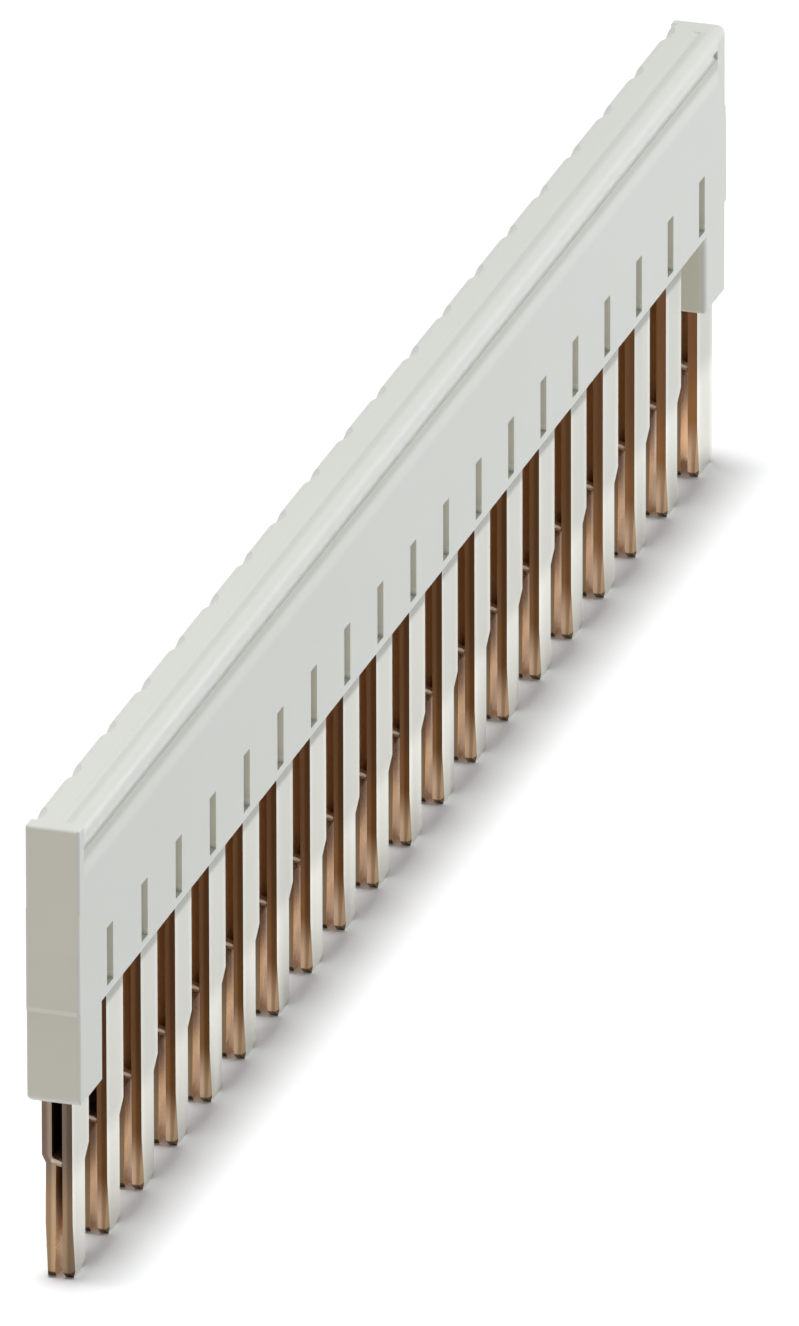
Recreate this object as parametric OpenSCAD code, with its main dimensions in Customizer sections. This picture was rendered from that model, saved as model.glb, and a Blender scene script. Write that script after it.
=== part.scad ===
// Plug-in terminal jumper: a moulded insulating bar over a contact comb that is folded into two leaves.
// Millimetres. X runs along the row, the marker groove faces -Y, +Z is up.
// The origin lies in the plane of the leg tips, under the middle of the bar.

/* [Row] */
// Number of plug-in positions
positions = 20; // [2:1:24]
// Distance from one leg to the next
pitch = 5.2; // [4.8:0.1:8.2]
// Distance from the centre of an end leg to the end of the bar, with its nub
end_margin = 1.8; // [1.75:0.05:2.0]

/* [Bar] */
// Thickness of the bar
bar_thickness = 2.6; // [2.4:0.05:3.4]
// Height of the bar from its lower edge to its top
bar_height = 9.9; // [8.6:0.1:14]
// Small radius on the bar's edges
edge_radius = 0.16; // [0.04:0.02:0.2]

/* [End blocks] */
// How far an end block reaches below the bar's lower edge
block_drop = 3.9; // [1:0.1:6]
// Radius of an end block's lower corner at the end of the row
block_corner_radius = 0.4; // [0.1:0.05:0.6]
// Radius along the rear lower edge of an end block
block_rear_radius = 0.5; // [0.2:0.05:0.55]
// Radius of the two upright edges of an end block that face along the row
block_inner_radius = 0.35; // [0.1:0.05:0.5]

/* [End nubs] */
// How far the nub stands proud of the near end face
near_nub = 0.06; // [0.02:0.02:0.12]
// How far the nub stands proud of the far end face
far_nub = 0.3; // [0.1:0.02:0.3]
// Height of a nub's foot above the bar's lower edge
nub_rise = 0.75; // [0.3:0.05:1]
// Height of a nub's flat
nub_height = 3; // [1:0.05:4]
// Height over which a nub runs out into the end face above its flat
nub_taper = 2; // [0.5:0.1:3]

/* [Crown] */
// Length of the square cap that is left at each end of the crown, with the nub
cap_length = 0.8; // [0.5:0.05:1.4]
// Length at the far end that the valley and the marker groove leave plain, with the nub
far_stop = 1.6; // [0.8:0.05:2.4]
// Radius of the bead along the crown's front edge, which runs on through the far cap
bead_radius = 0.55; // [0.3:0.05:0.65]
// Distance from the bar's front face to the middle of the valley behind the bead
valley_offset = 1.0; // [1:0.05:1.2]
// Width of the valley
valley_width = 0.45; // [0.3:0.05:0.6]
// Depth of the valley
valley_depth = 0.06; // [0.02:0.02:0.1]
// Radius of the crown's rear edge
crown_rear_radius = 0.42; // [0.2:0.02:0.5]

/* [Marker groove] */
// Distance from the top down to the groove's upper edge
groove_below_top = 0.8; // [0.6:0.05:1.6]
// Width of the groove
groove_width = 0.5; // [0.3:0.05:0.8]
// Depth of the groove
groove_depth = 0.2; // [0.1:0.05:0.3]

/* [Side slots] */
// Width of a slot
slot_width = 0.95; // [0.6:0.05:1.2]
// Height of a slot
slot_height = 2.9; // [1.5:0.1:4.5]
// Depth of a slot
slot_depth = 0.35; // [0.1:0.05:0.35]
// Web that closes a slot towards the bar's lower edge
slot_foot = 0.5; // [0.2:0.05:0.8]
// Offset of a slot from the middle between two legs, towards the far end
slot_offset = 0.2; // [0:0.05:0.4]

/* [Rear scallops] */
// Radius of a scallop across the crown's rear edge
scallop_radius = 2; // [1:0.1:3]
// Depth of a scallop below the rear edge's radius
scallop_depth = 0.22; // [0.06:0.02:0.3]
// Offset of a scallop from the centre of its leg, towards the near end
scallop_offset = 0.3; // [0:0.05:1]

/* [Contact comb] */
// Thickness of the sheet
sheet = 0.48; // [0.3:0.02:0.5]
// Gap between the two leaves of a leg
leaf_gap = 0.5; // [0.4:0.02:0.54]
// Width of a leg
leg_width = 2.5; // [1.8:0.05:2.6]
// Length of a leg below the bar's lower edge
leg_length = 12.8; // [10:0.1:16]
// Height of the spine inside the bar, with its fold
spine_height = 5.6; // [3:0.1:6]
// How far the spine's lower edge lies above the bar's lower edge
spine_recess = 0.3; // [0.1:0.05:0.8]
// Clearance between the comb and the bar, on each side
comb_fit = 0.03; // [0.02:0.01:0.06]

/* [Leaves] */
// Height of the neck, where the leaves change form, above the tips
neck_level = 5.95; // [4.8:0.05:7]
// Width cut from the far edge of a leg below its neck
neck_relief = 0.63; // [0.2:0.01:0.8]
// Gap between the leaves below the neck, where the rear leaf has bent inward
neck_gap = 0.1; // [0.06:0.02:0.3]
// Gap between the leaves at their tips, to which the rear leaf leans in
tip_gap = 0.04; // [0.02:0.01:0.06]
// Height over which the rear leaf bends inward
jog_rise = 0.4; // [0.2:0.05:0.6]
// Length of the spacer nib between the leaves, from the near edge
nib_length = 0.35; // [0.2:0.05:0.8]
// Thickness of the spacer nib
nib_thickness = 0.24; // [0.16:0.02:0.4]
// Clearance between the spacer nib and the front leaf
nib_fit = 0.03; // [0.02:0.01:0.08]

/* [Tips] */
// Height of the bevels on a leaf's tip
tip_height = 0.3; // [0.2:0.05:1]
// Depth of the bevel on each face of a leaf's tip
tip_bevel = 0.05; // [0.02:0.01:0.14]
// Chamfer on the two corners of a leaf's tip
tip_corner = 0.32; // [0.1:0.02:0.4]
// Height of the lead-in bevel along a leaf's near edge
lead_height = 2.8; // [1:0.1:4.4]
// Width of the lead-in bevel at the tip, across the leaf's face
lead_width = 0.4; // [0.2:0.05:0.7]
// Depth of the lead-in bevel at the tip, into the sheet
lead_depth = 0.14; // [0.06:0.02:0.28]

/* [Hidden] */
$fn = 64;
// Overrun of a cutting tool past the face that it leaves by
over = 1;

row_length = (positions - 1) * pitch;
bar_length = row_length + 2 * end_margin;
half_length = bar_length / 2;
half_thickness = bar_thickness / 2;
lower_edge = leg_length;
top = lower_edge + bar_height;
block_length = 2 * end_margin;
block_foot = lower_edge - block_drop;
block_top = lower_edge + edge_radius;
crown_length = bar_length - 2 * cap_length;
groove_length = bar_length - cap_length - far_stop;
nub_foot = lower_edge + nub_rise;
nub_top = nub_foot + nub_height;
comb_half = leaf_gap / 2 + sheet;
comb_length = row_length + leg_width;
spine_foot = lower_edge + spine_recess;
fold_level = lower_edge + spine_height - comb_half;
jog_top = neck_level + jog_rise / 2;
jog_foot = neck_level - jog_rise / 2;
neck_jog = leaf_gap - neck_gap;
tip_jog = leaf_gap - tip_gap;
lean_angle = atan((tip_jog - neck_jog) / (jog_foot - tip_height));
all_edges = [for (i = [0:3]) edge_radius];

function leg_x(i) = i * pitch - row_length / 2;
// Radius of the arc that has a given chord and rise
function arc_radius(chord, rise) = (chord * chord / 4 + rise * rise) / (2 * rise);

// Drawing planes: a (y, z) profile that runs along X, and an (x, z) outline that is centred across Y
module along_x(from, length) {
    translate([from, 0, 0]) rotate([90, 0, 90]) linear_extrude(height = length) children();
}

module across_y(width) {
    rotate([90, 0, 0]) linear_extrude(height = width, center = true) children();
}

// What a fillet takes off a convex corner at the origin, for material in the first quadrant
module corner_waste(radius) {
    difference() {
        translate([-over, -over]) square(radius + over);
        translate([radius, radius]) circle(radius);
    }
}

// A rectangle whose radii run from the lower left corner round to the upper left one, 0 for a sharp corner
module eased_rectangle(low, high, radii) {
    corners = [[low.x, low.y], [high.x, low.y], [high.x, high.y], [low.x, high.y]];
    difference() {
        translate(low) square(high - low);
        for (i = [0:3])
            if (radii[i] > 0) translate(corners[i]) rotate(90 * i) corner_waste(radii[i]);
    }
}

// A block with eased edges: its outline from the front, its end profile and its plan, intersected
module eased_block(low, high, front_radii, end_radii, plan_radii) {
    intersection() {
        across_y(bar_thickness + over)
            eased_rectangle([low.x, low.z], [high.x, high.z], front_radii);
        along_x(low.x - over, high.x - low.x + 2 * over)
            eased_rectangle([low.y, low.z], [high.y, high.z], end_radii);
        translate([0, 0, low.z - over]) linear_extrude(height = high.z - low.z + 2 * over)
            eased_rectangle([low.x, low.y], [high.x, high.y], plan_radii);
    }
}

// The plain bar between its two end faces
module bar() {
    eased_block([-half_length + near_nub, -half_thickness, lower_edge],
                [half_length - far_nub, half_thickness, top], all_edges, all_edges, all_edges);
}

// A band round the bar that ends in a nub on each end face
module nub_band() {
    near = -half_length;
    far = half_length;
    taper_top = nub_top + nub_taper;
    intersection() {
        across_y(bar_thickness + over)
            polygon([
                [near, nub_foot], [far, nub_foot], [far, nub_top], [far - far_nub, taper_top],
                [near + near_nub, taper_top], [near, nub_top]
            ]);
        translate([0, 0, lower_edge]) linear_extrude(height = bar_height)
            eased_rectangle([near, -half_thickness], [far, half_thickness], all_edges);
    }
}

// The block that sleeves the near end leg, flush with an end face that lies behind a nub
module end_block(nub) {
    eased_block([-half_length + nub, -half_thickness, block_foot],
                [-half_length + block_length, half_thickness, block_top],
                [block_corner_radius, edge_radius, 0, 0],
                [edge_radius, block_rear_radius, 0, 0],
                [edge_radius, block_inner_radius, block_inner_radius, edge_radius]);
}

// Cut off the crown: the front bead's corner, the valley behind it, the rear edge and its scallops
module valley_waste() {
    radius = arc_radius(valley_width, valley_depth);
    translate([-half_thickness + valley_offset, top + radius - valley_depth]) circle(radius);
}

module rear_scallops() {
    reach = crown_rear_radius * (sqrt(2) - 1) + scallop_depth;
    intersection() {
        translate([-crown_length / 2, 0, lower_edge]) cube([crown_length, bar_thickness, bar_height + over]);
        for (i = [0:positions - 1])
            translate([leg_x(i) - scallop_offset, half_thickness, top]) rotate([-45, 0, 0])
                translate([0, 0, scallop_radius - reach]) rotate([90, 0, 0])
                    cylinder(r = scallop_radius, h = bar_thickness, center = true);
    }
}

module crown_waste() {
    along_x(-crown_length / 2, crown_length + cap_length + over)
        translate([-half_thickness, top]) rotate(-90) corner_waste(bead_radius);
    along_x(-crown_length / 2, groove_length) valley_waste();
    along_x(-crown_length / 2, crown_length)
        translate([half_thickness, top]) rotate(180) corner_waste(crown_rear_radius);
    rear_scallops();
}

module marker_groove() {
    radius = arc_radius(groove_width, groove_depth);
    along_x(-crown_length / 2, groove_length)
        translate([-half_thickness - radius + groove_depth, top - groove_below_top - groove_width / 2])
            circle(radius);
}

module side_slots() {
    for (i = [0:positions - 2]) {
        start = leg_x(i + 0.5) + slot_offset - slot_width / 2;
        translate([start, -half_thickness - over, lower_edge + slot_foot])
            cube([slot_width, slot_depth + over, slot_height]);
    }
}

// A straight-sided hollow that clears the comb, from one level to another
module comb_hollow(from, length, low, high) {
    translate([from - comb_fit, -comb_half - comb_fit, low])
        cube([length + 2 * comb_fit, 2 * (comb_half + comb_fit), high - low]);
}

module comb_cavity() {
    mouth = bar_length - 2 * block_length;
    comb_hollow(-comb_length / 2, comb_length, lower_edge, fold_level + comb_half + comb_fit);
    comb_hollow(-mouth / 2 + comb_fit, mouth - 2 * comb_fit, lower_edge - over, lower_edge + spine_recess);
    for (i = [0, positions - 1])
        comb_hollow(leg_x(i) - leg_width / 2, leg_width, block_foot - over, lower_edge + spine_recess);
}

module insulating_body() {
    color([0.83, 0.83, 0.80])
        difference() {
            union() {
                bar();
                nub_band();
                end_block(near_nub);
                mirror([1, 0, 0]) end_block(far_nub);
            }
            crown_waste();
            marker_groove();
            side_slots();
            comb_cavity();
        }
}

// End profiles of the two leaves, from the tips up to the fold
module front_profile() {
    outer = -comb_half;
    inner = -leaf_gap / 2;
    polygon([
        [outer + tip_bevel, 0], [inner - tip_bevel, 0], [inner, tip_height], [inner, fold_level],
        [outer, fold_level], [outer, tip_height]
    ]);
}

module rear_profile() {
    inner = leaf_gap / 2;
    outer = comb_half;
    polygon([
        [inner - tip_jog + tip_bevel, 0], [outer - tip_jog - tip_bevel, 0],
        [outer - tip_jog, tip_height], [outer - neck_jog, jog_foot], [outer, jog_top],
        [outer, fold_level], [inner, fold_level],
        [inner, jog_top], [inner - neck_jog, jog_foot], [inner - tip_jog, tip_height]
    ]);
}

// The spacer nib on the rear leaf, which keeps the leaves apart at the neck
module nib_profile() {
    root = leaf_gap / 2 + sheet / 4;
    end = -leaf_gap / 2 + nib_fit;
    polygon([
        [root, jog_top], [root - neck_jog, jog_foot], [end, jog_foot - nib_thickness / 2],
        [end, jog_foot + nib_thickness / 2]
    ]);
}

// Front view of one leg from its tip up to the fold, cut back on its far edge below the neck or plain
module leg_outline(relief) {
    half = leg_width / 2;
    far = half - relief;
    polygon([
        [-half + tip_corner, 0], [far - tip_corner, 0], [far, tip_corner],
        if (relief > 0) [far, neck_level - relief],
        if (relief > 0) [half, neck_level],
        [half, fold_level], [-half, fold_level], [-half, tip_corner]
    ]);
}

// Everything below the sloping plane that bevels a near edge into the tip, for a corner at the origin
module lead_waste() {
    reach = 2 * lead_height;
    normal = [1 / lead_width, 1 / lead_depth, 1 / lead_height];
    intersection() {
        translate([-over, -over, -over]) cube([lead_width + over, lead_depth + over, lead_height + over]);
        translate([0, 0, lead_height])
            rotate([0, acos(normal.z / norm(normal)), atan2(normal.y, normal.x)])
                translate([-reach, -reach, -reach]) cube([2 * reach, 2 * reach, reach]);
    }
}

module front_leaf(relief) {
    difference() {
        intersection() {
            along_x(-leg_width, 2 * leg_width) front_profile();
            across_y(4 * comb_half) leg_outline(relief);
        }
        translate([-leg_width / 2, -comb_half, 0]) lead_waste();
    }
}

module rear_leaf(relief) {
    difference() {
        intersection() {
            along_x(-leg_width, 2 * leg_width) rear_profile();
            across_y(4 * comb_half) leg_outline(relief);
        }
        translate([-leg_width / 2, comb_half - tip_jog, tip_height]) rotate([-lean_angle, 0, 0])
            translate([0, 0, -tip_height]) mirror([0, 1, 0]) lead_waste();
    }
    along_x(-leg_width / 2, nib_length) nib_profile();
}

// The folded spine: two flat walls and the round fold above them
module spine() {
    along_x(-comb_length / 2, comb_length) {
        for (side = [-1, 1])
            translate([side * (comb_half - sheet / 2) - sheet / 2, spine_foot])
                square([sheet, fold_level - spine_foot]);
        intersection() {
            translate([-comb_half, fold_level]) square([2 * comb_half, comb_half]);
            translate([0, fold_level])
                difference() {
                    circle(comb_half);
                    circle(leaf_gap / 2);
                }
        }
    }
}

module contact_comb() {
    color([0.80, 0.56, 0.42]) {
        spine();
        for (i = [0:positions - 1]) {
            relief = i < positions - 1 ? neck_relief : 0;
            translate([leg_x(i), 0, 0]) {
                front_leaf(relief);
                rear_leaf(relief);
            }
        }
    }
}

insulating_body();
contact_comb();
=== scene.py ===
import math

import bpy
from mathutils import Euler, Matrix, Vector


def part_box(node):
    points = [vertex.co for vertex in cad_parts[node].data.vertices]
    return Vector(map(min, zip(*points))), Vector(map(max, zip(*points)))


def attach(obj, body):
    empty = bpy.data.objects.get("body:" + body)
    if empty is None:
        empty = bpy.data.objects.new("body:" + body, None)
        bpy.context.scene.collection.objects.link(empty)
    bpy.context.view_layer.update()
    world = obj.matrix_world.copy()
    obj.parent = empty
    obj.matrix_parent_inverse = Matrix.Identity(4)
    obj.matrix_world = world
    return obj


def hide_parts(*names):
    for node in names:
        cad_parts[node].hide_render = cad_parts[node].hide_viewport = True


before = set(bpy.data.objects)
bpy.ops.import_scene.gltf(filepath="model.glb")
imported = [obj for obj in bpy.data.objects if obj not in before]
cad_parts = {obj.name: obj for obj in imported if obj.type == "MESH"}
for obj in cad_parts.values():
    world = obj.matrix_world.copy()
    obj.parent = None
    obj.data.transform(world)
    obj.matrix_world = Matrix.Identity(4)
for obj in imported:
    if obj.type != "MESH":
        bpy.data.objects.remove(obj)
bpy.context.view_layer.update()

millimetre = 0.001
white = (1.0, 1.0, 1.0, 1.0)
imageSize = (799, 1326)
scene = bpy.context.scene
scene.view_settings.view_transform = "Standard"
print("frame loaded:", sorted(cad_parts))

bodyLow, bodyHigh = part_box("insulating_body")


# small helpers for node trees

def addNode(tree, kind, values=None, **settings):
    node = tree.nodes.new(kind)
    for name, value in settings.items():
        setattr(node, name, value)
    for socket, value in (values or {}).items():
        if isinstance(value, bpy.types.NodeSocket):
            tree.links.new(value, node.inputs[socket])
        else:
            node.inputs[socket].default_value = value
    return node


def maths(tree, operation, first, second=0.0, third=0.0):
    node = addNode(tree, "ShaderNodeMath", {0: first, 1: second, 2: third}, operation=operation)
    return node.outputs[0]


def times(tree, first, second):
    return maths(tree, "MULTIPLY", first, second)


def outside(tree, mask):
    return maths(tree, "SUBTRACT", 1.0, mask)


def share(tree, value, low, high):
    node = addNode(tree, "ShaderNodeMapRange", {"Value": value, "From Min": low, "From Max": high})
    return node.outputs[0]


def ramp(tree, value, fromLow, fromHigh, toLow=0.0, toHigh=1.0):
    node = addNode(tree, "ShaderNodeMapRange",
                   {"Value": value, "From Min": fromLow, "From Max": fromHigh,
                    "To Min": toLow, "To Max": toHigh},
                   interpolation_type="SMOOTHSTEP")
    return node.outputs["Result"]


def band(tree, value, middle, half, soft):
    away = maths(tree, "ABSOLUTE", maths(tree, "SUBTRACT", value, middle))
    return ramp(tree, away, half, half + soft, 1.0, 0.0)


# where a mix node keeps its sockets for colours
mixSockets = {"factor": 0, "first": 6, "second": 7, "result": 2}


def mixColour(tree, factor, first, second):
    given = {mixSockets["factor"]: factor, mixSockets["first"]: first, mixSockets["second"]: second}
    node = addNode(tree, "ShaderNodeMix", given, data_type="RGBA")
    return node.outputs[mixSockets["result"]]


def scaleTone(tree, colour, tone):
    if isinstance(tone, float):
        tone = (tone, tone, tone)
    node = addNode(tree, "ShaderNodeVectorMath", {0: colour, 1: tone}, operation="MULTIPLY")
    return node.outputs[0]


def toneWhere(tree, mask, colour, tone):
    return mixColour(tree, mask, colour, scaleTone(tree, colour, tone))


# screen levels to linear light
def tint(red, green, blue):
    def linear(level):
        level /= 255
        return level / 12.92 if level <= 0.04045 else ((level + 0.055) / 1.055) ** 2.4
    return (linear(red), linear(green), linear(blue), 1.0)


def newMaterial(name):
    material = bpy.data.materials.new(name)
    material.use_nodes = True
    tree = material.node_tree
    tree.nodes.clear()
    output = tree.nodes.new("ShaderNodeOutputMaterial")
    return material, tree, output


def newGroup(name, inputs, outputs):
    group = bpy.data.node_groups.new(name, "ShaderNodeTree")
    for socketName, kind, value in inputs:
        socket = group.interface.new_socket(socketName, in_out="INPUT", socket_type=kind)
        if value is not None:
            socket.default_value = value
    for socketName, kind in outputs:
        group.interface.new_socket(socketName, in_out="OUTPUT", socket_type=kind)
    return group, group.nodes.new("NodeGroupInput"), group.nodes.new("NodeGroupOutput")


# grain that both materials share: a fine height field and a slow drift of tone

grainForm = {
    "grainScale": 9000.0,         # per metre
    "driftScale": 90.0,
    "drift": 0.03,
    "fineDetail": 3.0,
    "fineRoughness": 0.6,
    "slowDetail": 2.0,
    "slowRoughness": 0.5,
    "noiseMiddle": 0.5,
}


def makeGrainGroup():
    form = grainForm
    group, given, result = newGroup(
        "surfaceGrain",
        [("Vector", "NodeSocketVector", None),
         ("Grain Scale", "NodeSocketFloat", form["grainScale"]),
         ("Drift Scale", "NodeSocketFloat", form["driftScale"]),
         ("Drift", "NodeSocketFloat", form["drift"])],
        [("Height", "NodeSocketFloat"), ("Tone", "NodeSocketFloat"), ("Cloud", "NodeSocketFloat")])
    fine = addNode(group, "ShaderNodeTexNoise",
                   {"Vector": given.outputs["Vector"], "Scale": given.outputs["Grain Scale"],
                    "Detail": form["fineDetail"], "Roughness": form["fineRoughness"]})
    slow = addNode(group, "ShaderNodeTexNoise",
                   {"Vector": given.outputs["Vector"], "Scale": given.outputs["Drift Scale"],
                    "Detail": form["slowDetail"], "Roughness": form["slowRoughness"]})
    centred = maths(group, "SUBTRACT", slow.outputs[0], form["noiseMiddle"])
    tone = maths(group, "MULTIPLY_ADD", centred, given.outputs["Drift"], 1.0)
    group.links.new(fine.outputs[0], result.inputs["Height"])
    group.links.new(tone, result.inputs["Tone"])
    group.links.new(slow.outputs[0], result.inputs["Cloud"])
    return group


grainGroup = makeGrainGroup()


def addGrain(tree, vector, grainScale, driftScale, drift):
    return addNode(tree, "ShaderNodeGroup",
                   {"Vector": vector, "Grain Scale": grainScale, "Drift Scale": driftScale, "Drift": drift},
                   node_tree=grainGroup)


# the moulded bar

plasticLook = {
    "base": tint(200, 201, 195),
    "endWallLightTint": (1.03, 0.98, 0.89),         # painted light: walls that look along the row are tinted a little yellower, for the warmer light on them
    "crownDepth": 1.5 * millimetre,        # but not the small ones in the far end of the crown
    "capStepDepth": 0.55 * millimetre,     # painted light: the shaded walls of the steps in its top are lightened so that they hardly show
    "capStepLightening": 1.7,
    "blockDepth": 9.9 * millimetre,
    "farBlockLightening": (1.20, 1.27, 1.22),    # painted light: the far block's inner wall, shaded by the last legs, is lightened
    "endFacing": (0.90, 0.97),             # how squarely a wall has to look along the row to be one
    "upFacing": 0.7,                       # and how far up the valley's floor has to look
    "roughness": (0.42, 0.51),
    "cloudRange": (0.3, 0.7),
    "specular": 0.35,
    "grainScale": 9000.0,                  # per metre, a moulded grain of about 0.1 mm
    "grainDepth": 0.004 * millimetre,
    "grainStrength": 0.6,
    "driftScale": 70.0,
    "drift": 0.05,
    "stepLevel": 13.55 * millimetre,       # painted highlight: a pale line at the foot of an end nub, where it catches the light
    "stepHalf": 0.08 * millimetre,
    "stepTint": tint(215, 212, 200),
    "witnessLevel": 16.65 * millimetre,    # the top of its flat shows less
    "witnessHalf": 0.06 * millimetre,
    "witnessTint": tint(203, 201, 190),
    "lipDepth": 1.30 * millimetre,         # depth of the groove's lower lip below the top
    "crownFront": -0.7 * millimetre,       # the bead and the groove lie in front of this plane
    "beadHighlight": 1.11,                      # painted highlight: the bead is lighter down to the groove
    "beadDepth": (0.15 * millimetre, 0.55 * millimetre),
    # painted light: the groove is lightened against its own shade
    "grooveLightening": 1.12,
    "grooveDepth": (0.85 * millimetre, 1.20 * millimetre),
    "lineDepth": 1.50 * millimetre,        # painted shade: a soft dark line under the lip; and a painted highlight, a pale line under that
    "lineHalf": 0.10 * millimetre,
    "lineSoft": 0.36 * millimetre,
    "lineTone": (0.81, 0.81, 0.77),
    "paleDepth": 2.25 * millimetre,
    "paleHalf": 0.08 * millimetre,
    "paleSoft": 0.50 * millimetre,
    "paleTone": 1.08,
    "crownFrom": -50.4 * millimetre,
    "crownTo": 49.6 * millimetre,
    # painted shade along the valley in the top
    "valleyPlace": -0.56 * millimetre,
    "valleyHalf": 0.09 * millimetre,
    "valleySoft": 0.20 * millimetre,
    "valleyShade": 0.92,
}


# painted light on the walls that look along the row: a warmer tint, a lightened inner wall of the far
# block, and lightened step walls in the far crown
def paintedEndWallLight(tree, colour, axes, facing, onEnd, below):
    look = plasticLook
    farWall = times(tree, maths(tree, "GREATER_THAN", axes.outputs["X"], 0.0),
                    maths(tree, "LESS_THAN", facing.outputs["X"], 0.0))
    farCrown = times(tree, farWall, maths(tree, "LESS_THAN", below, look["crownDepth"]))
    farBlock = times(tree, farWall, maths(tree, "GREATER_THAN", below, look["blockDepth"]))
    lightenedCapStep = times(tree, farWall, maths(tree, "LESS_THAN", below, look["capStepDepth"]))
    colour = toneWhere(tree, times(tree, onEnd, outside(tree, farCrown)), colour, look["endWallLightTint"])
    colour = toneWhere(tree, times(tree, onEnd, farBlock), colour, look["farBlockLightening"])
    return toneWhere(tree, times(tree, onEnd, lightenedCapStep), colour, look["capStepLightening"])


# painted light and shade on the crown: the lighter bead and groove, a dark line and a pale line under the
# groove's lip, and a darker valley
def paintedCrownLight(tree, colour, axes, facing, below):
    look = plasticLook
    along, across = axes.outputs["X"], axes.outputs["Y"]
    inCrown = times(tree, maths(tree, "GREATER_THAN", along, look["crownFrom"]),
                    maths(tree, "LESS_THAN", along, look["crownTo"]))
    inFront = times(tree, inCrown, maths(tree, "LESS_THAN", across, look["crownFront"]))
    aboveLip = times(tree, inFront, maths(tree, "LESS_THAN", below, look["lipDepth"]))
    underLip = times(tree, inFront, maths(tree, "GREATER_THAN", below, look["lipDepth"]))
    bead = times(tree, ramp(tree, below, *look["beadDepth"], 1.0, look["beadHighlight"]),
                 ramp(tree, below, *look["grooveDepth"], 1.0, look["grooveLightening"]))
    colour = toneWhere(tree, aboveLip, colour, bead)
    for mark in ("line", "pale"):
        paintedStripe = band(tree, below, look[mark + "Depth"], look[mark + "Half"], look[mark + "Soft"])
        colour = toneWhere(tree, times(tree, underLip, paintedStripe), colour, look[mark + "Tone"])
    valley = band(tree, across, look["valleyPlace"], look["valleyHalf"], look["valleySoft"])
    onFloor = maths(tree, "GREATER_THAN", facing.outputs["Z"], look["upFacing"])
    valley = times(tree, times(tree, valley, inCrown), onFloor)
    return toneWhere(tree, valley, colour, look["valleyShade"])


# the witness line, and a painted highlight at the foot of an end nub
def nubLines(tree, colour, height, onEnd):
    look = plasticLook
    for mark in ("witness", "step"):
        half = look[mark + "Half"]
        line = band(tree, height, look[mark + "Level"], half, half)
        colour = mixColour(tree, times(tree, onEnd, line), colour, look[mark + "Tint"])
    return colour


def makePlastic():
    look = plasticLook
    material, tree, output = newMaterial("greyPolyamide")
    place = addNode(tree, "ShaderNodeTexCoord").outputs["Object"]
    normal = addNode(tree, "ShaderNodeNewGeometry").outputs["True Normal"]
    axes = addNode(tree, "ShaderNodeSeparateXYZ", {0: place})
    facing = addNode(tree, "ShaderNodeSeparateXYZ", {0: normal})
    grain = addGrain(tree, place, look["grainScale"], look["driftScale"], look["drift"])
    onEnd = ramp(tree, maths(tree, "ABSOLUTE", facing.outputs["X"]), *look["endFacing"])
    below = maths(tree, "SUBTRACT", bodyHigh.z, axes.outputs["Z"])
    colour = scaleTone(tree, look["base"][:3], grain.outputs["Tone"])
    colour = paintedEndWallLight(tree, colour, axes, facing, onEnd, below)
    colour = paintedCrownLight(tree, colour, axes, facing, below)
    colour = nubLines(tree, colour, axes.outputs["Z"], onEnd)
    rough = ramp(tree, grain.outputs["Cloud"], *look["cloudRange"], *look["roughness"])
    bump = addNode(tree, "ShaderNodeBump",
                   {"Strength": look["grainStrength"], "Distance": look["grainDepth"],
                    "Height": grain.outputs["Height"]})
    shader = addNode(tree, "ShaderNodeBsdfPrincipled",
                     {"Base Color": colour, "Roughness": rough, "Normal": bump.outputs[0],
                      "Specular IOR Level": look["specular"]})
    tree.links.new(shader.outputs[0], output.inputs["Surface"])
    return material


# the comb with its leaves apart: below the neck the rear leaf stands further out than in the solid

leafForm = {
    "gap": 0.50 * millimetre,              # between the leaves above the neck
    "jogTop": 6.15 * millimetre,           # the rear leaf bends inward from here
    "jogFoot": 5.75 * millimetre,
    "tipHeight": 0.30 * millimetre,
    "footJog": 0.40 * millimetre,          # how far the solid's leaf has come in at the foot of the bend
    "tipJog": 0.46 * millimetre,           # and at the tip
    "footOut": 0.21 * millimetre,          # how far it goes back out here
    "tipOut": 0.33 * millimetre,
    "rearFrom": -0.23 * millimetre,        # the rear leaf lies behind this plane
    "rearFromAtNib": -0.19 * millimetre,   # and beside the nib behind this one, so that the nib's end stays
    "nibFoot": 5.50 * millimetre,
}


def makeContactLeaves():
    form = leafForm
    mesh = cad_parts["contact_comb"].data.copy()
    mesh.name = "contactLeaves"
    for vertex in mesh.vertices:
        spot = vertex.co
        rearFrom = form["rearFromAtNib"] if spot.z > form["nibFoot"] else form["rearFrom"]
        if spot.z < form["jogTop"] and spot.y > rearFrom:
            bent = min((form["jogTop"] - spot.z) / (form["jogTop"] - form["jogFoot"]), 1.0)
            leaned = max((form["jogFoot"] - spot.z) / (form["jogFoot"] - form["tipHeight"]), 0.0)
            spot.y += bent * form["footOut"] + leaned * (form["tipOut"] - form["footOut"])
    mesh.normals_split_custom_set([(0.0, 0.0, 0.0)] * len(mesh.loops))   # plain face normals again
    mesh.update()
    leaves = bpy.data.objects.new("contactLeaves", mesh)
    scene.collection.objects.link(leaves)
    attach(leaves, "root")
    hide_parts("contact_comb")
    return leaves


# the comb's finish: tin on the rolled faces, bare copper on the stamped edges

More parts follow.
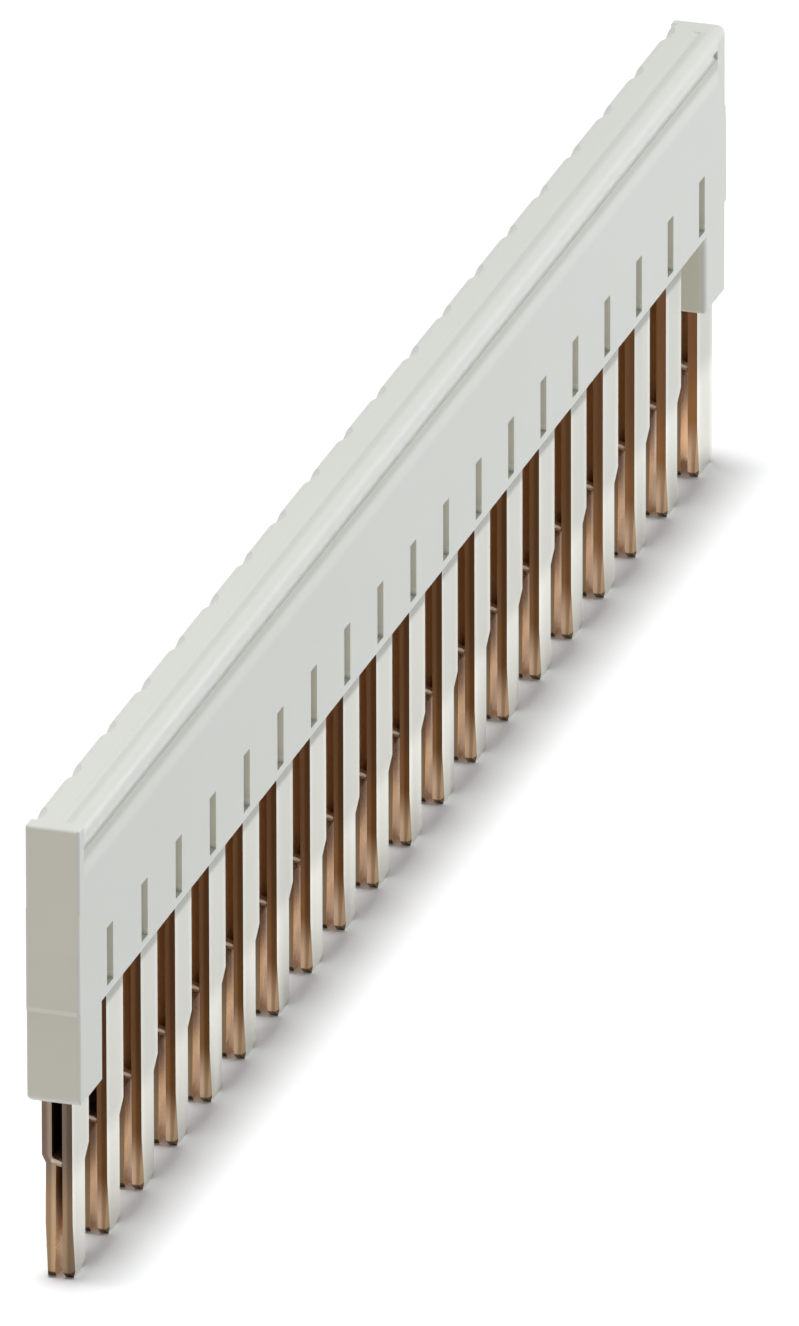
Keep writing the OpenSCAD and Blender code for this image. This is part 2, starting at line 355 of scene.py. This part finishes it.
combLook = {
    "tin": tint(195, 194, 187),
    "tinShade": tint(182, 182, 175),
    "tinLitBelowNeck": 1.28,                        # painted light: the tin is lighter below the neck
    "litBelowNeckDepth": 1.2 * millimetre,        # from this far under the bend
    "tinEdgeHighlight": 1.14,                        # painted highlight: lighter along both edges of a leg
    "rimFrom": 0.5,                        # from this share of half its width
    "tinRoughness": 0.40,
    "roughnessSpread": 0.05,
    "cloudRange": (0.3, 0.7),
    "edgeFacing": (0.22, 0.34),            # a cut edge looks along the row, or down
    "downFacing": (0.86, 0.94),
    "acrossFacing": 0.5,
    "faceMargin": 0.01 * millimetre,
    "copperShadedAtBar": tint(127, 90, 61),          # painted shade: bare copper is darker towards the bar
    "copper": tint(147, 105, 67),
    "litTipCopper": tint(246, 210, 176),    # painted light: the copper is lighter towards the tips
    "rearLitTipCopper": tint(255, 225, 190),
    "barShadeRange": (3.4 * millimetre, 6.6 * millimetre),
    "frontLitTipRange": (0.6 * millimetre, 3.2 * millimetre),
    "rearLitTipRange": (1.6 * millimetre, 5.8 * millimetre),
    "frontTorn": (0.57, 0.53, 0.46),       # the outer part of a stamped edge is torn and darker
    "frontTornFrom": (0.12 * millimetre, 0.29 * millimetre),
    # painted shade: the rear leaf's torn part is darker still, in the shade of the neighbouring leg
    "rearTornInShade": (0.32, 0.29, 0.25),
    "rearTornFrom": (-0.02 * millimetre, 0.02 * millimetre),
    "tipShade": 0.30,                       # painted shade: the bevelled tips are darkest
    "tipSoft": 0.06 * millimetre,
    "firstLegHigh": tint(160, 140, 122),   # painted light and shade: the leg outside the row's shade is given greyer copper tones of its own
    "firstLegLow": tint(206, 172, 136),
    "firstFront": 0.60,
    "firstTorn": (0.60, 0.58, 0.58),
    "insideShadeNear": tint(40, 22, 12),        # painted shade: the faces that the two leaves turn to each other are near-black above the neck of the near legs, lighter towards the far legs
    "insideShadeFar": tint(212, 173, 127),
    "insideFrom": -46 * millimetre,
    "insideTo": -39 * millimetre,
    "insideClean": tint(255, 219, 182),    # below the neck they are worn bright and mirror the floor
    "insideFront": (0.72, 0.74, 0.74),
    # painted shade: below the neck the inner faces are darker towards the neck
    "insideShadeRange": (1.8 * millimetre, 4.8 * millimetre),
    "mirrorFade": (5.0 * millimetre, 5.6 * millimetre),
    "firstMirrorFade": (1.2 * millimetre, 2.6 * millimetre),
    "insideMetal": 0.90,
    "insideRoughness": 0.16,
    "farTone": 1.30,                       # the far legs' edges are lighter
    "farFrom": 15 * millimetre,
    "farTo": 50 * millimetre,
    "copperRoughness": 0.45,
    "copperMetal": 0.35,
    "pitch": 5.20 * millimetre,
    "firstLeg": -49.4 * millimetre,
    "legHalf": 1.25 * millimetre,
    "tickLevel": 5.86 * millimetre,        # painted highlight: a bright line across the nib
    "tickSlope": 0.12,
    "tickShare": 0.60,
    "tickHalf": 0.07 * millimetre,
    "tickSoft": 0.02 * millimetre,
    "tickFrom": -0.25 * millimetre,
    "tickTo": 0.28 * millimetre,
    "underBar": 11.8 * millimetre,         # painted shade: a soft dark line where the leaves enter the bar
    "underBarHeight": 0.35 * millimetre,
    "underBarShade": 0.60,
    "specular": 0.0,
    "grainDepth": 0.003 * millimetre,
    "grainStrength": 0.5,
    "rollStretch": 0.04,                   # the rolling lines are drawn out along the leaf
    "rollGrain": (7000.0, 900.0, 0.10),    # grain and drift per metre, and how far the tone drifts
    "tornGrain": (9000.0, 2500.0, 0.35),
}


# where the rear leaf's inner face lies at this height, and which leaf a point belongs to
def leafPlaces(tree, across, up):
    look, form = combLook, leafForm
    jogged = share(tree, up, form["jogTop"], form["jogFoot"])
    leaned = share(tree, up, form["jogFoot"], form["tipHeight"])
    footInset, tipInset = form["footJog"] - form["footOut"], form["tipJog"] - form["tipOut"]
    inset = maths(tree, "ADD", times(tree, jogged, footInset),
                  times(tree, leaned, tipInset - footInset))
    fromRear = maths(tree, "ADD", maths(tree, "SUBTRACT", across, form["gap"] / 2), inset)
    fromFront = maths(tree, "SUBTRACT", times(tree, across, -1.0), form["gap"] / 2)
    return {"jogged": jogged,
            "ofRear": maths(tree, "GREATER_THAN", fromRear, -look["faceMargin"]),
            "ofFront": maths(tree, "GREATER_THAN", fromFront, -look["faceMargin"]),
            "depth": maths(tree, "MAXIMUM", fromRear, fromFront)}


# cut edges look along the row or down, the rolled faces and bends look across it
def edgeMasks(tree, facing, across, up, leaf):
    look = combLook
    sideways = ramp(tree, maths(tree, "ABSOLUTE", facing.outputs["X"]), *look["edgeFacing"])
    downward = ramp(tree, times(tree, facing.outputs["Z"], -1.0), *look["downFacing"])
    cutEdge = maths(tree, "MAXIMUM", sideways, downward)
    # painted highlight: a band across the nib takes the tin's colour instead of copper
    level = maths(tree, "MULTIPLY_ADD", across, -look["tickSlope"], up)
    tickMiddle = (look["tickFrom"] + look["tickTo"]) / 2
    tickReach = (look["tickTo"] - look["tickFrom"]) / 2
    tick = times(tree, band(tree, level, look["tickLevel"], look["tickHalf"], look["tickSoft"]),
                 band(tree, across, tickMiddle, tickReach, look["tickSoft"]))
    unticked = maths(tree, "MULTIPLY_ADD", tick, -look["tickShare"], 1.0)
    copperMask = times(tree, cutEdge, unticked)
    between = outside(tree, maths(tree, "MAXIMUM", leaf["ofRear"], leaf["ofFront"]))
    toFront = maths(tree, "LESS_THAN", facing.outputs["Y"], -look["acrossFacing"])
    toRear = maths(tree, "GREATER_THAN", facing.outputs["Y"], look["acrossFacing"])
    inward = maths(tree, "ADD", times(tree, leaf["ofRear"], toFront),
                   times(tree, leaf["ofFront"], toRear))
    inward = maths(tree, "MAXIMUM", inward, times(tree, between, unticked))
    return copperMask, times(tree, inward, outside(tree, copperMask))


# the rolled faces, where each leg is measured from its own middle, with painted highlights along a leg's
# edges, painted light below the neck and painted shade under the bar
def tinColour(tree, along, up, rolled):
    look, form = combLook, leafForm
    pitchHalf = look["pitch"] / 2
    aside = maths(tree, "WRAP", maths(tree, "SUBTRACT", along, look["firstLeg"]), pitchHalf, -pitchHalf)
    edgeHighlight = ramp(tree, maths(tree, "ABSOLUTE", aside), look["rimFrom"] * look["legHalf"], look["legHalf"],
               1.0, look["tinEdgeHighlight"])
    litBelowNeck = ramp(tree, up, form["jogFoot"] - look["litBelowNeckDepth"], form["jogTop"], look["tinLitBelowNeck"], 1.0)
    shaded = ramp(tree, up, look["underBar"] - look["underBarHeight"], look["underBar"],
                  1.0, look["underBarShade"])
    tin = mixColour(tree, rolled.outputs["Cloud"], look["tinShade"], look["tin"])
    return scaleTone(tree, tin, times(tree, edgeHighlight, times(tree, litBelowNeck, shaded)))


# the outer part of a stamped edge, and its tone: torn and darker, and on the rear leaf darker still with
# painted shade
def tornPart(tree, leaf, isFirst, farShare):
    look = combLook
    frontOuter = ramp(tree, leaf["depth"], *look["frontTornFrom"])
    rearOnly = times(tree, leaf["ofRear"], outside(tree, isFirst))
    rearOuter = times(tree, rearOnly, ramp(tree, leaf["depth"], *look["rearTornFrom"]))
    tone = mixColour(tree, leaf["ofRear"], (*look["frontTorn"], 1.0), (*look["rearTornInShade"], 1.0))
    tone = mixColour(tree, isFirst, tone, (*look["firstTorn"], 1.0))
    tone = mixColour(tree, times(tree, farShare, leaf["ofFront"]), tone, white)
    return maths(tree, "MAXIMUM", frontOuter, rearOuter), tone


# a stamped edge: painted shade at the bar and on the bevelled tips, painted light towards the tip, its
# outer part torn, and on the rear leaf in painted shade
def edgeColour(tree, along, up, leaf, torn, isFirst):
    look, form = combLook, leafForm
    ofFront, ofRear = leaf["ofFront"], leaf["ofRear"]
    barShade = ramp(tree, up, *look["barShadeRange"])
    copper = mixColour(tree, barShade, look["copper"], look["copperShadedAtBar"])
    litTip = maths(tree, "ADD", times(tree, ofFront, ramp(tree, up, *look["frontLitTipRange"], 1.0, 0.0)),
                    times(tree, ofRear, ramp(tree, up, *look["rearLitTipRange"], 1.0, 0.0)))
    litTipTone = mixColour(tree, ofRear, look["litTipCopper"], look["rearLitTipCopper"])
    copper = mixColour(tree, litTip, copper, litTipTone)
    # painted light and shade on the first leg, which stands outside the row's shade
    firstTone = mixColour(tree, barShade, look["firstLegLow"], look["firstLegHigh"])
    frontTone = maths(tree, "MULTIPLY_ADD", ofFront, look["firstFront"] - 1.0, 1.0)
    copper = mixColour(tree, isFirst, copper, scaleTone(tree, firstTone, frontTone))
    farShare = times(tree, ramp(tree, along, look["farFrom"], look["farTo"]), outside(tree, litTip))
    outerPart, tornTone = tornPart(tree, leaf, isFirst, farShare)
    copper = toneWhere(tree, outerPart, copper, tornTone)
    tipTop = form["tipHeight"] + look["tipSoft"]
    tipShade = ramp(tree, up, form["tipHeight"], tipTop, look["tipShade"], 1.0)
    farTone = maths(tree, "MULTIPLY_ADD", farShare, look["farTone"] - 1.0, 1.0)
    return scaleTone(tree, copper, times(tree, torn.outputs["Tone"], times(tree, tipShade, farTone)))


# the faces that the two leaves turn to each other, with painted shade above the neck, and below it darker
# towards the neck
def insideColour(tree, along, up, leaf):
    look = combLook
    high = mixColour(tree, ramp(tree, along, look["insideFrom"], look["insideTo"]),
                     look["insideShadeNear"], look["insideShadeFar"])
    low = mixColour(tree, ramp(tree, up, *look["insideShadeRange"]), look["insideClean"], look["copper"])
    low = toneWhere(tree, leaf["ofFront"], low, look["insideFront"])
    return mixColour(tree, leaf["jogged"], high, low)


def makeTinnedCopper():
    look = combLook
    material, tree, output = newMaterial("tinnedCopper")
    place = addNode(tree, "ShaderNodeTexCoord").outputs["Object"]
    normal = addNode(tree, "ShaderNodeNewGeometry").outputs["True Normal"]
    facing = addNode(tree, "ShaderNodeSeparateXYZ", {0: normal})
    along, across, up = addNode(tree, "ShaderNodeSeparateXYZ", {0: place}).outputs
    drawnOut = addNode(tree, "ShaderNodeMapping",
                       {"Vector": place, "Scale": (1.0, 1.0, look["rollStretch"])}).outputs[0]
    rolled = addGrain(tree, drawnOut, *look["rollGrain"])
    torn = addGrain(tree, drawnOut, *look["tornGrain"])

    leaf = leafPlaces(tree, across, up)
    copperMask, inside = edgeMasks(tree, facing, across, up, leaf)
    isFirst = maths(tree, "LESS_THAN", along, look["firstLeg"] + look["pitch"] / 2)
    face = mixColour(tree, inside, tinColour(tree, along, up, rolled), insideColour(tree, along, up, leaf))
    colour = mixColour(tree, copperMask, face, edgeColour(tree, along, up, leaf, torn, isFirst))

    # below the neck the inner faces mirror the floor
    mirrorShare = addNode(tree, "ShaderNodeMix",
                          {"Factor": isFirst, "A": ramp(tree, up, *look["mirrorFade"], 1.0, 0.0),
                           "B": ramp(tree, up, *look["firstMirrorFade"], 1.0, 0.0)}).outputs[0]
    mirrored = times(tree, inside, mirrorShare)
    bare = times(tree, copperMask, 1.0 - look["copperMetal"])
    dull = maths(tree, "MULTIPLY_ADD", mirrored, -look["insideMetal"], inside)
    metal = outside(tree, maths(tree, "MAXIMUM", bare, dull))
    tinRough, spread = look["tinRoughness"], look["roughnessSpread"]
    rough = ramp(tree, rolled.outputs["Cloud"], *look["cloudRange"], tinRough - spread, tinRough + spread)
    rough = maths(tree, "MULTIPLY_ADD", copperMask, look["copperRoughness"] - tinRough, rough)
    rough = maths(tree, "MULTIPLY_ADD", mirrored, look["insideRoughness"] - tinRough, rough)
    height = maths(tree, "ADD", rolled.outputs["Height"], times(tree, copperMask, torn.outputs["Cloud"]))
    bump = addNode(tree, "ShaderNodeBump",
                   {"Strength": look["grainStrength"], "Distance": look["grainDepth"], "Height": height})
    shader = addNode(tree, "ShaderNodeBsdfPrincipled",
                     {"Base Color": colour, "Metallic": metal, "Roughness": rough,
                      "Normal": bump.outputs[0], "Specular IOR Level": look["specular"]})
    tree.links.new(shader.outputs[0], output.inputs["Surface"])
    return material


def dress(part, material):
    part.data.materials.clear()
    part.data.materials.append(material)


dress(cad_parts["insulating_body"], makePlastic())
dress(makeContactLeaves(), makeTinnedCopper())
print("bar and comb dressed")


# floor, world and lamps

stageLook = {
    "floorSize": 6.0,
    "floorColour": tint(250, 250, 251),
    "floorLift": 0.03,                     # added where it is seen or mirrored, so that it reads white
    "liftColour": (0.97, 0.99, 1.0, 1.0),
    "worldColour": (0.98, 0.99, 1.0, 1.0),
    "worldStrength": 0.23,
    "overheadStrength": 2.40,
    "overheadAngle": 12.0,
    "overheadTilt": (-4.0, 0.0, 0.0),      # from a little behind, so that the shadow falls forward
    "nearPlace": (-0.09, 0.0, 0.12),       # a small lamp above the near end
    "nearSize": 0.05,
    "nearPower": 0.022,
    "nearColour": (1.0, 1.0, 1.0),
    "fillPlace": (0.26, -0.30, 0.06),
    "fillSize": 0.20,
    "fillPower": 0.86,
    "fillColour": (0.95, 0.98, 1.0),
}


def lookFactor(tree):
    path = addNode(tree, "ShaderNodeLightPath")
    seen = maths(tree, "MAXIMUM", path.outputs["Is Camera Ray"], path.outputs["Is Glossy Ray"])
    return maths(tree, "MAXIMUM", seen, path.outputs["Is Transmission Ray"])


def makeFloor():
    look = stageLook
    half = look["floorSize"] / 2
    mesh = bpy.data.meshes.new("studioFloor")
    corners = [(-half, -half, 0), (half, -half, 0), (half, half, 0), (-half, half, 0)]
    mesh.from_pydata(corners, [], [(0, 1, 2, 3)])
    floor = bpy.data.objects.new("studioFloor", mesh)
    scene.collection.objects.link(floor)
    material, tree, output = newMaterial("paleFloor")
    diffuse = addNode(tree, "ShaderNodeBsdfDiffuse", {"Color": look["floorColour"]})
    strength = times(tree, lookFactor(tree), look["floorLift"])
    lift = addNode(tree, "ShaderNodeEmission", {"Color": look["liftColour"], "Strength": strength})
    both = addNode(tree, "ShaderNodeAddShader", {0: diffuse.outputs[0], 1: lift.outputs[0]})
    tree.links.new(both.outputs[0], output.inputs["Surface"])
    mesh.materials.append(material)


def makeWorld():
    look = stageLook
    world = bpy.data.worlds.new("studio")
    world.use_nodes = True
    tree = world.node_tree
    tree.nodes.clear()
    seen = lookFactor(tree)
    colour = mixColour(tree, seen, look["worldColour"], white)
    strength = maths(tree, "MULTIPLY_ADD", seen, 1.0 - look["worldStrength"], look["worldStrength"])
    background = addNode(tree, "ShaderNodeBackground", {"Color": colour, "Strength": strength})
    output = tree.nodes.new("ShaderNodeOutputWorld")
    tree.links.new(background.outputs[0], output.inputs["Surface"])
    scene.world = world


def areaLamp(name, place, aim, size, power, colour):
    light = bpy.data.lights.new(name, "AREA")
    light.shape = "SQUARE"
    light.size, light.energy, light.color = size, power, colour
    lamp = bpy.data.objects.new(name, light)
    lamp.location = place
    lamp.rotation_euler = (aim - lamp.location).to_track_quat("-Z", "Y").to_euler()
    scene.collection.objects.link(lamp)


def makeLamps():
    look = stageLook
    overhead = bpy.data.lights.new("overheadSoftbox", "SUN")
    overhead.energy = look["overheadStrength"]
    overhead.angle = math.radians(look["overheadAngle"])
    lamp = bpy.data.objects.new("overheadSoftbox", overhead)
    lamp.rotation_euler = Euler([math.radians(a) for a in look["overheadTilt"]])
    scene.collection.objects.link(lamp)

    centre = (bodyLow + bodyHigh) / 2
    nearEnd = Vector((bodyLow.x, centre.y, bodyHigh.z))
    areaLamp("frontFill", look["fillPlace"], centre, look["fillSize"], look["fillPower"],
             look["fillColour"])
    areaLamp("nearTop", look["nearPlace"], nearEnd, look["nearSize"], look["nearPower"],
             look["nearColour"])


makeFloor()
makeWorld()
makeLamps()
print("stage lit")


# camera at the photograph's angle, with a long lens

cameraLook = {
    "azimuth": -72.69,
    "elevation": 23.15,
    "roll": -0.12,
    "distance": 1.650,
    "target": (2.15 * millimetre, 0.0, 9.09 * millimetre),
    "focalPixels": 35083.0,
    "sensor": 36.0,
    "clip": (0.05, 20.0),
}


def makeCamera():
    look = cameraLook
    azimuth, elevation = math.radians(look["azimuth"]), math.radians(look["elevation"])
    back = Vector((math.sin(azimuth) * math.cos(elevation), -math.cos(azimuth) * math.cos(elevation),
                   math.sin(elevation)))
    data = bpy.data.cameras.new("camera")
    data.sensor_width = look["sensor"]
    data.lens = look["focalPixels"] * look["sensor"] / max(imageSize)
    data.clip_start, data.clip_end = look["clip"]
    camera = bpy.data.objects.new("camera", data)
    turn = (-back).to_track_quat("-Z", "Y").to_matrix().to_4x4()
    camera.matrix_world = (Matrix.Translation(Vector(look["target"]) + back * look["distance"]) @ turn
                           @ Matrix.Rotation(math.radians(look["roll"]), 4, "Z"))
    scene.collection.objects.link(camera)
    scene.camera = camera


makeCamera()
print("camera set")
